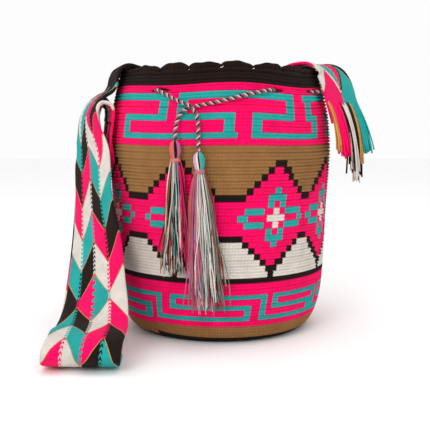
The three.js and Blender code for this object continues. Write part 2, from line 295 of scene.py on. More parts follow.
crochet_yarn = yarn_material("crochet_yarn", 2.0, 1.0, 0.0005, mirrored=True)
band_yarn = yarn_material("band_yarn", 0.6, 0.35, 0.0009)
loose_yarn = yarn_material("loose_yarn", 2.0, 0.5, 0.0002)
cord_yarn = yarn_material("cord_yarn", 2.0, 0.7, 0.0002)
sewing_yarn = yarn_material("sewing_yarn", 2.0, 0.6, 0.0002)
tassel_yarn = yarn_material("tassel_yarn", 2.0, 0.45, 0.0002)
print("yarn materials:", len([m for m in bpy.data.materials if m.name.endswith("_yarn")]))

# %% [markdown]
# ## The cords: the drawstring
#
# The drawstring is four yarns twisted together. A cord's way through space decides how
# everything near it looks, so it comes before the big surfaces. Its centre line is a smooth curve
# through a few dozen points: from the left tassel up to the knot, along the front, in and out of
# the eyelets all the way round, back through the knot and down to the right tassel. Four thin
# tubes wind round that line.

# %% The way of the drawstring
CORD_OUTSIDE = 0.1203
CORD_INSIDE = 0.1092
CORD_STEPS = 620
EYELET_HEIGHT = 0.2645
EYELETS = (-35, 28, 57, 94, 133, 172, 211, 250)
EYELET_REACH = 3.5
SPRING = 0.5 * MM


def around(azimuth, radius, height=EYELET_HEIGHT):
    """A point at an azimuth in degrees, 0 in front and positive to the right."""
    angle = math.radians(azimuth)
    return (radius * math.sin(angle), -radius * math.cos(angle), height)


# It dives at every second eyelet, and springs a little off the wall halfway to the next one.
way_round = []
for number, azimuth in enumerate((*EYELETS[1:], EYELETS[0] + 360)):
    diving = number % 2 == 0
    near, far = (CORD_OUTSIDE, CORD_INSIDE) if diving else (CORD_INSIDE, CORD_OUTSIDE)
    way_round += [around(azimuth - EYELET_REACH, near), around(azimuth + EYELET_REACH, far)]
    if azimuth < EYELETS[-1]:
        halfway = (azimuth + EYELETS[number + 2]) / 2
        way_round.append(around(halfway, far - SPRING if diving else far + SPRING))
    if azimuth == EYELETS[-1]:
        way_round += [around(270, far - SPRING), around(296, far - 0.7 * MM)]
cord_points = [
    (-0.045, -0.126, 0.2153), (-0.0443, -0.1235, 0.226), (-0.042, -0.1212, 0.236),
    (-0.037, -0.1204, 0.2435), (-0.028, -0.1212, 0.2473), (-0.016, -0.123, 0.2498),
    (-0.003, -0.1236, 0.2524), (0.012, -0.1224, 0.256), (0.028, -0.1187, 0.2602),
    *way_round,
    (-0.05, -0.1135, 0.2575), (-0.04, -0.1212, 0.2525), (-0.0305, -0.1267, 0.2485),
    (-0.024, -0.127, 0.241), (-0.022, -0.127, 0.23), (-0.0216, -0.1295, 0.216),
    (-0.0215, -0.1325, 0.2038),
]
cord_length, cord_line = even_steps(smooth_curve(cord_points), CORD_STEPS)
print("drawstring length", round(cord_length, 3), "m")

# %% Twist four yarns round that line
PLY_RADIUS = 0.86 * MM
PLY_REACH = 1.2 * MM
PLY_PITCH = 7 * MM
PLY_COLOURS = [BROWN, (0.6, 0.5, 0.46), (0.55, 0.08, 0.14), (0.07, 0.12, 0.11)]


def twist(line, length, reach, pitch, count):
    """As many paths as asked that wind round a line."""
    along = np.gradient(line, axis=0)
    along /= np.linalg.norm(along, axis=1, keepdims=True)
    first = np.zeros_like(line)
    first[0] = np.cross(along[0], [0, 0.2, 1])
    for step in range(len(line)):
        kept = first[max(step - 1, 0)]
        kept = kept - along[step] * kept.dot(along[step])
        first[step] = kept / np.linalg.norm(kept)
    second = np.cross(along, first)
    turn = np.linspace(0, length, len(line)) / pitch * 2 * np.pi
    made = []
    for ply in range(count):
        angle = (turn + 2 * np.pi * ply / count)[:, None]
        made.append(line + reach * (first * np.cos(angle) + second * np.sin(angle)))
    return np.array(made)


plies = twist(cord_line, cord_length, PLY_REACH, PLY_PITCH, 4)
drawstring = yarn_tubes(
    "drawstring", plies, np.full(plies.shape[:2], PLY_RADIUS), 6, PLY_COLOURS
)
drawstring.data.materials.append(cord_yarn)
print("drawstring faces", len(drawstring.data.polygons))

# %% [markdown]
# ## The pattern of the wall
#
# The wall is tapestry crochet: rounds of single crochet stitches, each in one of five colours.
# A maker works from a chart, so the lesson does too: a table with one colour for each stitch,
# 90 rounds high and 216 stitches round, filled from simple rules for the key bands, the stepped
# diamonds and the flowers. A stitch sits a little to the right of the one under it, so the
# motifs lean.

# %% The rounds and where they lie
STITCHES = 216
ROUNDS = 90
LEAN = 0.075
MIDDLE_ROUND = 47
PROFILE_END_ROUND = 97
ROUND_STARTS = [0, 6, 10, 12, 14, 16, 18, 20, 22, 26, 28, 30, 42, 52, 64, 68, 70, 72, 76, 78,
                82, 84, 87, 90]
ROUND_LENGTHS = [0, 15.5, 32, 39, 43.9, 51.8, 56.8, 63.8, 68.4, 81.2, 86.4, 92.8, 130.7, 166,
                 208.1, 223, 229.8, 235.8, 248.7, 255.4, 270, 277.5, 285.5, 296.5]
chart = np.full((ROUNDS, STITCHES), P)
steps_round = 360 / STITCHES
stitch_middle = (np.arange(STITCHES) + 0.5 + STITCHES / 2) % STITCHES - STITCHES / 2


def stitch_at(azimuth, level):
    """The stitch, counted from the front, that is at this azimuth in this round."""
    return azimuth / steps_round - LEAN * (level - MIDDLE_ROUND)


def fill(first_round, last_round, left, right, colour):
    """Colours the stitches between two places in some rounds."""
    middle = (left + right) / 2
    apart = (stitch_middle - middle + STITCHES / 2) % STITCHES - STITCHES / 2
    chart[first_round:last_round, np.abs(apart) < (right - left) / 2] = colour


chart[0:6] = B
chart[6:10] = N
chart[26:28] = B
chart[28:42] = W
chart[52:68] = N
print("chart", chart.shape)

# %% The stepped diamonds and their flowers
DIAMONDS = [(-66, 10, 7.8), (-21.5, 10.4, 10.4), (28, 10, 9.2), (67, 9.6, 10),
            (112, 10, 10), (158, 10, 10), (204, 10, 10), (250, 10, 10)]
chart[52:54] = B
chart[40:42] = B
for azimuth, reach_left, reach_right in DIAMONDS:
    middle = azimuth / steps_round
    for side, reach in ((-1, reach_left), (1, reach_right)):
        widen = (reach - 2) / 8
        for step in range(6):
            outside = 2 + 2 * step * widen
            inside = max(0, outside - 1.35 - 1.1 * widen)
            for low, high in ((62 - 2 * step, 64 - 2 * step), (30 + 2 * step, 32 + 2 * step)):
                flat = step == 5
                near, far = sorted((0, side * (inside + 0.6 if flat else outside)))
                fill(low, high, middle + near, middle + far, P)
                if not flat:
                    near, far = sorted((side * inside, side * outside))
                    fill(low, high, middle + near, middle + far, B)
    fill(62, 64, middle - 2, middle + 2, B)
    fill(30, 32, middle - 2, middle + 2, B)
    fill(28, 30, middle - 1, middle + 1, B)
for azimuth, _, _ in DIAMONDS:
    middle = azimuth / steps_round
    for low, high, left, right, colour in (
        (44, 50, -1, 1, W), (46, 48, -3, 3, W),
        (50, 52, -3, 3, T), (52, 54, -3, 3, T), (54, 56, -1, 1, T), (50, 52, -1, 1, P),
        (42, 44, -3, 3, T), (40, 42, -3, 3, T), (38, 40, -1, 1, T), (42, 44, -1, 1, P),
        (48, 50, 3.6, 8.9, T), (44, 46, 3.6, 8.9, T), (46, 48, 8.1, 10.6, T),
        (48, 50, -9.6, -3.6, T), (44, 46, -9.6, -3.6, T), (46, 48, -11.6, -8.6, T),
    ):
        fill(low, high, middle + left, middle + right, colour)
print("diamonds", len(DIAMONDS))

# %% The two key bands
UPPER_BARS = ((70, 72), (76, 78), (82, 84))
LOWER_BARS = ((12, 14), (16, 18), (20, 22))


def bar(rounds, left, right):
    level = sum(rounds) / 2
    fill(*rounds, stitch_at(left, level), stitch_at(right, level), T)


def upright(low, high, azimuth, width):
    level = (low + high) / 2
    middle = stitch_at(azimuth, level)
    fill(low, high, middle - width / 2, middle + width / 2, T)


UPPER_KEY = [(-52.4, -28.8, -17.6, 5.0), (17.4, 36.2, 49.3, 54.1)]
UPPER_KEY += [(start, start + 20, start + 31, start + 46) for start in (70.5, 125.5, 180.5, 235.5)]
UPPER_OVERHANG = 2.6
for index, (down, turn, rise, close) in enumerate(UPPER_KEY):
    low, middle, high = UPPER_BARS
    upright(70, 78, down, 3)
    upright(76, 84, turn, 3)
    upright(76, 84, rise, 3)
    upright(70, 78, close, 3)
    bar(middle, down - UPPER_OVERHANG, turn + UPPER_OVERHANG)
    bar(middle, rise - UPPER_OVERHANG, close + UPPER_OVERHANG)
    bar(low, down - UPPER_OVERHANG, close + UPPER_OVERHANG)
    before = UPPER_KEY[index - 1][2] - (360 if index == 0 else 0)
    bar(high, before - UPPER_OVERHANG, turn + UPPER_OVERHANG)
LOWER_KEY = [(-33.7, -25.4, 14.3), (22.4, 29.5, 56.8)]
LOWER_KEY += [(start, start + 7.5, start + 40) for start in (62.2, 111, 159, 207, 249)]
LOWER_KEY += [(291, 298.5, 318.5)]
LOWER_OVERHANG = 1.8
for index, (full, left, right) in enumerate(LOWER_KEY):
    low, middle, high = LOWER_BARS
    following = LOWER_KEY[(index + 1) % len(LOWER_KEY)][0]
    following += 360 if following < full else 0
    upright(12, 22, full, 2.2)
    upright(16, 22, left, 2.2)
    upright(12, 18, right, 2.2)
    bar(high, left - LOWER_OVERHANG, following + LOWER_OVERHANG)
    bar(low, full - LOWER_OVERHANG, right + LOWER_OVERHANG)
    bar(middle, left - LOWER_OVERHANG, right + LOWER_OVERHANG)
chart[68:70] = P
chart[22:26] = P
chart[10:12] = P
chart[87:90] = B
chart[84:87] = P
print("stitches of each colour:", np.bincount(chart.ravel()))

# %% [markdown]
# ## The crocheted wall
#
# Each stitch is built as a small bump in a fine sheet of points, three points across and three
# up, with a deep groove between the rounds. The sheet is wrapped round the bag's profile, so the
# wall is real relief and not only a picture. It is made from arrays, because a modelling operator
# can't follow a chart of nineteen thousand stitches. The inside is the same cloth, coarser.

# %% The profile of the bag
PROFILE = np.array([
    (86, 0), (94, 1.6), (101, 6), (107, 14), (112, 26), (116.2, 45), (119, 80), (121.5, 140),
    (124.5, 185), (125, 205), (122.5, 238), (117.5, 262), (113, 280), (111.5, 288),
]) * MM
CLOTH = 4.5 * MM
profile_curve = smooth_curve(np.c_[PROFILE, np.zeros(len(PROFILE))], 30)[:, :2]
profile_run = np.r_[0, np.cumsum(np.linalg.norm(np.diff(profile_curve, axis=0), axis=1))]
ROUNDS_DRAWN_ON = 303.5
profile_scale = profile_run[-1] / ROUNDS_DRAWN_ON
round_lengths = np.array(ROUND_LENGTHS) * profile_scale
PER_STITCH = 3
PER_ROUND = 3
ACROSS_RELIEF = np.array([-0.42, 0.26, 0.22]) * MM
UP_RELIEF = np.array([-0.85, 0.35, 0.5]) * MM


def on_profile(run):
    """Radius, height and outward direction at a length along the profile."""
    radius = np.interp(run, profile_run, profile_curve[:, 0])
    height = np.interp(run, profile_run, profile_curve[:, 1])
    step = 2 * MM
    high, low = np.minimum(run + step, profile_run[-1]), np.maximum(run - step, 0)
    up = np.stack([
        np.interp(high, profile_run, side) - np.interp(low, profile_run, side)
        for side in profile_curve.T
    ])
    up /= np.linalg.norm(up, axis=0)
    return radius, height, up[1], -up[0]


def waver(azimuth, level):
    """How far a round wanders up or down, because hand work is never quite level."""
    high = np.clip((level - 60) / 28, 0, 1)
    low = np.clip((24 - level) / 20, 0, 1)
    upper = 1.6 * np.sin(np.radians(azimuth) * 5 + 0.6) + 1.1 * np.sin(np.radians(azimuth) * 3 + 2)
    jog = ((azimuth + 40) % 360) / 360
    lower = 3.2 * (0.5 - jog) * np.clip(level / 4, 0, 1)
    start = 4.5 * np.exp(-jog * 22) * np.clip(1 - np.abs(level - 6) / 4, 0, 1)
    return (high * upper + low * lower + start) * MM


def sheet_points(levels, stitches, lift):
    """Points of the cloth at these rounds and stitches, lifted off the profile by lift."""
    level, stitch = np.meshgrid(levels, stitches, indexing="ij")
    azimuth = steps_round * (stitch + LEAN * (level - MIDDLE_ROUND))
    run = np.interp(
        level, ROUND_STARTS + [PROFILE_END_ROUND], np.r_[round_lengths, profile_run[-1]]
    )
    run = np.clip(run + waver(azimuth, level), 0, profile_run[-1])
    radius, height, out, rise = on_profile(run)
    radius, height = radius + out * lift, height + rise * lift
    angle = np.radians(azimuth)
    return np.stack([radius * np.sin(angle), -radius * np.cos(angle), height], -1)


def crochet_relief(levels, stitches):
    """The height of the stitches over the cloth."""
    level = np.round(levels * PER_ROUND).astype(int)
    up = UP_RELIEF[level % PER_ROUND].copy()
    pair = (level % PER_ROUND == 0) & ((level // PER_ROUND) % 2 == 0)
    up[pair] -= 0.75 * MM
    across = ACROSS_RELIEF[np.round(stitches * PER_STITCH).astype(int) % PER_STITCH]
    raised = (level % PER_ROUND != 0).astype(float)
    return up[:, None] + across[None, :] * (0.35 + 0.65 * raised[:, None])


def grid_faces(rows, columns, start=0, flipped=False):
    """Faces of a grid that closes on itself sideways."""
    index = start + np.arange((rows + 1) * columns).reshape(rows + 1, columns)
    right = np.roll(index, -1, axis=1)
    parts = [index[:-1], right[:-1], right[1:], index[1:]]
    return np.stack(parts[::-1] if flipped else parts, -1)


def crochet_shell(name, first, last):
    """A closed ring of crochet between two rounds, fine outside and coarser inside."""
    levels = np.arange(first * PER_ROUND, last * PER_ROUND + 1) / PER_ROUND
    stitches = np.arange(STITCHES * PER_STITCH) / PER_STITCH
    outer = sheet_points(levels, stitches, crochet_relief(levels, stitches))
    in_levels = np.arange(first * 2, last * 2 + 1) / 2
    in_stitches = np.arange(STITCHES, dtype=float)
    ribs = np.where(np.arange(len(in_levels)) % 2 == 0, 0.5 * MM, -0.4 * MM)[:, None]
    inner = sheet_points(in_levels, in_stitches, ribs - CLOTH)
    rows, columns = len(levels) - 1, len(stitches)
    skin = grid_faces(rows, columns)
    start = outer.reshape(-1, 3).shape[0]
    lining = grid_faces(len(in_levels) - 1, STITCHES, start, flipped=True)
    edges, edge_chart = [], []
    for outer_row, inner_row, up in ((0, 0, False), (rows, len(in_levels) - 1, True)):
        base = outer_row * columns + np.arange(STITCHES) * PER_STITCH
        fan = [base, base + 1, base + 2,
               outer_row * columns + (np.arange(STITCHES) + 1) % STITCHES * PER_STITCH]
        low = start + inner_row * STITCHES + np.arange(STITCHES)
        beyond = start + inner_row * STITCHES + (np.arange(STITCHES) + 1) % STITCHES
        ring = np.stack([*fan, beyond, low], -1)
        edges.append(ring if up else ring[:, ::-1])
        edge_chart.append(chart[first if not up else last - 1])
    faces = [skin.reshape(-1, 4), lining.reshape(-1, 4), np.concatenate(edges)]
    row_of = (np.arange(rows) // PER_ROUND + first)[:, None]
    column_of = (np.arange(columns) // PER_STITCH)[None, :]
    in_row = (np.arange(len(in_levels) - 1) // 2 + first)[:, None]
    colours = np.concatenate([
        YARNS[chart[row_of, column_of]].reshape(-1, 3),
        YARNS[chart[in_row, np.arange(STITCHES)[None, :]]].reshape(-1, 3),
        YARNS[np.concatenate(edge_chart)],
    ])
    points = np.concatenate([outer.reshape(-1, 3), inner.reshape(-1, 3)])
    made = piece_from_arrays(name, points, faces, colours)
    around_uv = np.concatenate([
        np.tile(stitches, len(levels)), np.tile(in_stitches, len(in_levels))
    ])
    up_uv = np.concatenate([np.repeat(levels, columns), np.repeat(in_levels, STITCHES)])
    add_uv(made, around_uv, up_uv, STITCHES)
    made.data.materials.append(crochet_yarn)
    return made


wall_lower = crochet_shell("wall_lower", 0, 28)
wall_middle = crochet_shell("wall_middle", 28, 54)
wall_upper = crochet_shell("wall_upper", 54, 80)
print("wall faces", sum(len(o.data.polygons) for o in (wall_lower, wall_middle, wall_upper)))

# %% [markdown]
# ## The top of the wall, with its slits, and the rim
#
# Where the drawstring passes, the maker skipped a few stitches, which leaves a narrow slit. Here
# the faces of those stitches are left out and the edges are closed between the outside and the
# inside. The rim ends in fans of stitches that make a scalloped edge, with a small hole between
# one fan and the next.

# %% A shell with openings
def open_shell(name, outer, inner, keep, colours, around_uv, up_uv):
    """Closes outer and inner grids into one body and leaves out the faces that aren't kept."""
    rows, columns = outer.shape[0] - 1, outer.shape[1]
    skin = grid_faces(rows, columns)
    count = outer.shape[0] * columns
    lining = skin + count
    faces = [skin[keep], lining[keep][:, ::-1]]
    tints = [colours[keep], colours[keep]]
    walls = []
    wall_tints = []
    for row_step, column_step, corner_a, corner_b in ((-1, 0, 0, 1), (1, 0, 2, 3),
                                                      (0, -1, 3, 0), (0, 1, 1, 2)):
        beside = np.roll(keep, -column_step, axis=1) if column_step else np.zeros_like(keep)
        if row_step == 1:
            beside[:-1] = keep[1:]
        if row_step == -1:
            beside[1:] = keep[:-1]
        edge = keep & ~beside
        a, b = skin[edge][:, corner_a], skin[edge][:, corner_b]
        walls.append(np.stack([b, a, a + count, b + count], -1))
        wall_tints.append(colours[edge])
    faces = [np.concatenate(faces + walls)]
    tints = np.concatenate(tints + wall_tints)
    points = np.concatenate([outer.reshape(-1, 3), inner.reshape(-1, 3)])
    used = np.unique(faces[0])
    renumber = np.zeros(len(points), int)
    renumber[used] = np.arange(len(used))
    made = piece_from_arrays(name, points[used], [renumber[faces[0]]], tints)
    period = around_uv.max() + around_uv[0, 1] - around_uv[0, 0]
    add_uv(made, np.tile(around_uv.ravel(), 2)[used], np.tile(up_uv.ravel(), 2)[used], period)
    made.data.materials.append(crochet_yarn)
    return made


# %% The top rounds with the slits
FIRST_TOP, LAST_TOP = 80, 90
top_levels = np.arange(FIRST_TOP * PER_ROUND, LAST_TOP * PER_ROUND + 1) / PER_ROUND
top_stitches = np.arange(STITCHES * PER_STITCH) / PER_STITCH
relief = crochet_relief(top_levels, top_stitches)
top_outer = sheet_points(top_levels, top_stitches, relief)
top_inner = sheet_points(top_levels, top_stitches, -CLOTH - 0.3 * relief)
top_keep = np.ones((len(top_levels) - 1, len(top_stitches)), bool)
cell_middle = (top_outer[:-1] + np.roll(top_outer, -1, axis=1)[1:]) / 2
cell_azimuth = np.degrees(np.arctan2(cell_middle[..., 0], -cell_middle[..., 1]))
SLIT_HALF = 6.6
SLIT_TALL = 2.5 * MM
for azimuth in EYELETS:
    shift = 3.5 if azimuth == -35 else 0
    apart = (cell_azimuth - azimuth - shift + 180) % 360 - 180
    lens = 1 - (np.abs(apart) / SLIT_HALF) ** 2
    height = cell_middle[..., 2] - EYELET_HEIGHT
    top_keep &= ~((lens > 0) & (np.abs(height) < SLIT_TALL * np.maximum(lens, 0)))
row_of = (np.arange(len(top_levels) - 1) // PER_ROUND + FIRST_TOP)[:, None]
top_colours = YARNS[chart[row_of, (np.arange(len(top_stitches)) // PER_STITCH)[None, :]]]
uv_up, uv_round = np.meshgrid(top_levels, top_stitches, indexing="ij")
wall_top = open_shell(
    "wall_top", top_outer, top_inner, top_keep, top_colours, uv_round, uv_up
)
print("slits leave out", int((~top_keep).sum()), "faces")

# %% The scalloped rim
SCALLOPS = 21
SCALLOP_FIRST = 9
SCALLOP_TALL = 4.2 * MM
rim_steps = np.linspace(0, 1, 13)
rim_columns = np.arange(SCALLOPS * 30)
rim_share, rim_column = np.meshgrid(rim_steps, rim_columns, indexing="ij")
rim_azimuth = rim_column * 360 / (SCALLOPS * 30)
fan = ((rim_azimuth - SCALLOP_FIRST) / (360 / SCALLOPS) + 0.5) % 1 * 2 - 1
start_run = round_lengths[-1] + waver(rim_azimuth, np.full_like(rim_azimuth, 90.0))
turned_from_front = np.abs((rim_azimuth + 180) % 360 - 180)
pressed = np.clip((np.abs(turned_from_front - 78) - 20) / 12, 0.1, 1)
crown = pressed * SCALLOP_TALL * np.sqrt(np.clip(1 - np.abs(fan) ** 2.4, 0, 1))
wobble = MM * (1.2 * np.sin(np.radians(rim_azimuth) * 4 + 1.4)
               + 0.7 * np.sin(np.radians(rim_azimuth) * 13 + 0.5)
               + 0.35 * np.sin(np.radians(rim_azimuth) * 47))
reach = profile_run[-1] - start_run + crown + wobble
rim_run = start_run + rim_share * reach
over = np.maximum(rim_run - profile_run[-1], 0)
radius, height, out, rise = on_profile(np.minimum(rim_run, profile_run[-1]))
height = height + over
flare = rim_share**1.5 * 1.6 * MM * (1 - np.abs(fan) ** 1.5)
spokes = 0.45 * MM * np.cos(fan * 7 * math.pi) * np.sin(rim_share * math.pi)
rings = 0.9 * MM * np.cos(rim_share * 2 * math.pi * 2)
lip = np.clip((rim_share - 0.85) / 0.15, 0, 1) ** 2
bulge = flare + spokes * (rim_share > 0.2) - rings * (rim_share < 0.55) - lip * 1.5 * MM
angle = np.radians(rim_azimuth)


def ring_points(lift):
    spread = radius + out * lift
    level = height + rise * lift
    return np.stack([spread * np.sin(angle), -spread * np.cos(angle), level], -1)


rim_outer = ring_points(bulge)
rim_inner = ring_points(np.minimum(-CLOTH + flare + lip * 1.5 * MM, bulge - 0.4 * MM))
rim_keep = np.ones((len(rim_steps) - 1, len(rim_columns)), bool)
fan_cell = np.abs(fan[:-1])
gap = (fan_cell > 0.9) & (rim_share[:-1] > 0.42) & (rim_share[:-1] < 0.62)
rim_keep &= ~gap
rim_colours = np.broadcast_to(np.array(BROWN) * 0.9, rim_keep.shape + (3,))
scalloped_rim = open_shell(
    "scalloped_rim", rim_outer, rim_inner, rim_keep, rim_colours,
    rim_column / 3, rim_share * 3 + 90,
)
print("scallops", SCALLOPS)

# %% [markdown]
# ## The base
#
# The base is flat, and worked in the same stitches from the middle out. It can't be seen from
# the front, so it is finished plainly in the brown of the first rounds.

# %% Crochet the base from the middle out
BASE_ROUNDS = 24
base_level = np.arange(BASE_ROUNDS * 2 + 1) / 2
base_level[0] = 0.15
edge = sheet_points(np.array([0.0]), np.arange(STITCHES, dtype=float), 0)[0]
base_share = base_level / BASE_ROUNDS
groove = np.where(np.arange(len(base_level)) % 2 == 0, 0.9, 0.1)[:, None] * MM
flat = base_share[:, None, None] * edge[None]
under = flat.copy()
under[..., 2] = groove
under[-1, :, 2] = edge[:, 2] + 0.4 * MM
above = flat.copy()
above[..., 2] = CLOTH - groove * 0.4
above[-1, :, 2] = CLOTH
above[-1, :, :2] *= 0.99
columns = STITCHES
rows = len(base_level) - 1
count = (rows + 1) * columns
low_hub, high_hub = 2 * count, 2 * count + 1
near = np.arange(columns)
turned = np.roll(near, -1)
rim_index = rows * columns + near
rim_next = rows * columns + turned
base_faces = [
    np.concatenate([
        grid_faces(rows, columns).reshape(-1, 4),
        grid_faces(rows, columns, count, flipped=True).reshape(-1, 4),
        np.stack([rim_index, rim_next, rim_next + count, rim_index + count], -1),
    ]),
    np.concatenate([
        np.stack([np.full(columns, low_hub), turned, near], -1),
        np.stack([np.full(columns, high_hub), count + near, count + turned], -1),
    ]),
]
hubs = np.array([[0, 0, 0.4 * MM], [0, 0, CLOTH - 0.4 * MM]])
base_points = np.concatenate([under.reshape(-1, 3), above.reshape(-1, 3), hubs])
base_tints = np.tile(BROWN, (sum(len(block) for block in base_faces), 1))
base_cloth = piece_from_arrays("base_cloth", base_points, base_faces, base_tints)
add_uv(base_cloth, np.r_[np.tile(np.arange(columns), 2 * rows + 2), 0, 0],
       np.r_[np.repeat(base_level, columns), np.repeat(base_level, columns), 0, 0], STITCHES)
base_cloth.data.materials.append(crochet_yarn)
shaped = bmesh.new()
shaped.from_mesh(base_cloth.data)
bmesh.ops.recalc_face_normals(shaped, faces=shaped.faces)
shaped.to_mesh(base_cloth.data)
shaped.free()
print("base faces", len(base_cloth.data.polygons))

# %% [markdown]
# ## The strap
#
# The strap is a woven band of four columns of slanting cells, with thin gold lines between the
# cells and toothed edges between the columns. It is one long sheet laid along a curve, and the
# lines of the mesh slant with the pattern, so each cell edge is a row of real edges. The band
# keeps its width everywhere, as cloth does.

# %% The way of the strap and its facing
STRAP_WIDTH = 74 * MM
STRAP_THICK = 4.5 * MM
strap_way = [
    (140, -34, 235, .578, .816), (134, -33, 256, .578, .816), (127.5, -31, 277, .578, .816),
    (120, -28, 288.6, .57, .82), (107, -25, 293.6, .55, .835), (91, -21, 291.6, .5, .866),
    (67, -16, 281.5, .41, .91), (35, -12, 272, .28, .96), (0, -11, 268.5, .14, .99),
    (-35, -12, 271.5, 0, 1), (-70, -16, 283, -.12, .99), (-93, -20, 290.6, -.18, .984),
    (-105, -23, 292.8, -.21, .978), (-113, -25, 289.2, -.23, .973), (-117, -26, 281, -.24, .97),
    (-118.8, -27, 272.5, -.25, .968), (-122.5, -28.5, 265.5, -.26, .965),
    (-130, -30, 260.5, -.28, .96), (-139, -31, 252.5, -.32, .947), (-145.5, -33, 238, -.36, .933),
    (-145, -37, 219, -.47, .883), (-140.5, -44, 195, -.6, .8), (-137.5, -58, 147, -.62, .785),
    (-131, -88, 91, -.76, .65), (-128.5, -120, 51, -.83, .558), (-127.5, -150, 35, -.88, .475),
    (-127, -184, 31.5, -.97, .2), (-128, -199, 27, -.99, .06), (-129.5, -205, 17.5, -1, 0),
    (-131, -199, 8.6, -1, 0), (-132, -185, 4.7, -.99, .1), (-133, -155, 6, -.93, .368),
    (-135, -120, 20, -.87, .493), (-137, -88, 49, -.8, .6), (-140, -60, 92, -.7, .714),
    (-142.8, -40.5, 144, -.58, .815), (-142.5, -29.5, 186, -.52, .854), (-142, -27, 219, -.4, .917),
    (-139, -28, 235, -.34, .94), (-134, -30, 246.5, -.28, .96), (-128.3, -31.3, 252, -.25, .968),
    (-122.8, -30.8, 248.5, -.242, .97), (-121.6, -30.6, 240, -.242, .97),
    (-122.8, -30.8, 232, -.242, .97),
]
way = np.array(strap_way)
strap_curve = smooth_curve(np.c_[way, np.zeros(len(way))])
STRAP_STEPS = 1200
strap_length, strap_line, strap_rear = even_steps(
    strap_curve[:, :3] * MM, STRAP_STEPS, strap_curve[:, 3:]
)
strap_run = np.linspace(0, strap_length, len(strap_line))


def band_frame(line, rear):
    """Directions across to the rear and out of the face of a band."""
    along = np.gradient(line, axis=0)
    along /= np.linalg.norm(along, axis=1, keepdims=True)
    rear = rear - along * (along * rear).sum(1, keepdims=True)
    rear /= np.linalg.norm(rear, axis=1, keepdims=True)
    return rear, np.cross(along, rear)


strap_across, strap_face = band_frame(strap_line, strap_rear)
print("strap length", round(strap_length, 3), "m")

# %% The pattern of the band
CELL = 36.5 * MM
CENTRE_ROW_AT = 578 * MM
OVER_RIM = (286 * MM, 336 * MM)
SLANT = 30 * MM
COLUMNS = 4
ACROSS = 48
cells = np.arange(-20, 20)
GOLD_WIDE = 1.3 * MM
TEETH = 14
starts = CENTRE_ROW_AT + (cells - 0.5) * CELL
tooth_steps = (CELL - GOLD_WIDE) * np.arange(2 * TEETH) / (2 * TEETH)
row_runs = np.c_[starts, (starts + GOLD_WIDE)[:, None] + tooth_steps].ravel()
rows_a_cell = len(tooth_steps) + 1
row_cell = np.repeat(cells, rows_a_cell)
row_gold = np.arange(len(row_runs)) % rows_a_cell == 0
inside_band = (row_runs > 1.5 * MM) & (row_runs < strap_length - 1.5 * MM)
row_runs, row_cell, row_gold = row_runs[inside_band], row_cell[inside_band], row_gold[inside_band]
row_runs = np.r_[0, row_runs, strap_length]
row_cell = np.r_[row_cell[0], row_cell]
row_gold = np.r_[False, row_gold]
across_share = np.linspace(0, 1, ACROSS + 1)
fold = np.abs((across_share * COLUMNS / 2) % 1 * 2 - 1)
slant = SLANT * (0.5 - fold)
fade = np.clip(np.minimum(row_runs, strap_length - row_runs) / (40 * MM), 0, 1)
turned_over = np.clip((CENTRE_ROW_AT - row_runs) / (CELL / 2), -1, 1)
band_run = row_runs[:, None] + slant[None, :] * (fade * turned_over)[:, None]
CYCLE = [B, P, W, T]
column_of = np.minimum((np.arange(ACROSS) + 0.5) / ACROSS * COLUMNS, COLUMNS - 0.01).astype(int)
shift = -np.abs(row_cell)
shift = np.where(row_cell < -14, 3, np.where(row_cell == -14, 0, shift))
per_column = ACROSS // COLUMNS
step_in = np.arange(ACROSS) % per_column
tooth_row = (np.arange(len(row_cell)) // 2) % 2
band_cells = np.zeros((len(row_cell), ACROSS), int)
OFFSETS = [0, 1, 3, 2]
for thread in range(ACROSS):
    own = COLUMNS - 1 - column_of[thread]
    lent = np.full(len(row_cell), own)
    if step_in[thread] == 0 and own < COLUMNS - 1:
        lent = np.where(tooth_row == 1, own + 1, own)
    if step_in[thread] == per_column - 1 and own > 0:
        lent = np.where(tooth_row == 0, own - 1, own)
    band_cells[:, thread] = np.array(CYCLE)[(np.array(OFFSETS)[lent] + shift) % 4]
band_cells[row_gold] = G
over_rim = (row_runs[:-1] > OVER_RIM[0]) & (row_runs[:-1] < OVER_RIM[1])
band_cells[over_rim] = B
loose_end = row_runs[:-1] < 42 * MM
band_cells[loose_end] = np.where(column_of < 2, P, T)
print("band rows", len(row_runs))


# %% Lay the sheet along the curve
def on_strap(run):
    """Place and directions at lengths along the strap."""
    return [
        np.stack([np.interp(run, strap_run, column) for column in values.T], -1)
        for values in (strap_line, strap_across, strap_face)
    ]


band_place, band_rear, band_out = on_strap(band_run)
side = (across_share - 0.5) * STRAP_WIDTH
edge_round = np.sqrt(np.clip(1 - (np.abs(across_share - 0.5) * 2) ** 8, 0, 1))
ribs = 0.22 * MM * (np.arange(ACROSS + 1) % 2)
half = (STRAP_THICK / 2 - 0.15 * MM) * (0.35 + 0.65 * edge_round) + ribs
middle = band_place + band_rear * side[None, :, None]
front = middle + band_out * half[None, :, None]
back = middle - band_out * half[None, :, None]
rows, columns = len(row_runs), ACROSS + 1
index = np.arange(rows * columns).reshape(rows, columns)
count = rows * columns
front_faces = np.stack([index[:-1, :-1], index[:-1, 1:], index[1:, 1:], index[1:, :-1]], -1)
back_faces = (front_faces + count)[..., ::-1]
outline = [
    (index[:-1, 0], index[1:, 0]), (index[1:, -1], index[:-1, -1]),
    (index[0, 1:], index[0, :-1]), (index[-1, :-1], index[-1, 1:]),
]
band_faces = np.concatenate([
    front_faces.reshape(-1, 4), back_faces.reshape(-1, 4),
    *[np.stack([here, there, there + count, here + count], -1) for here, there in outline],
])[:, ::-1]
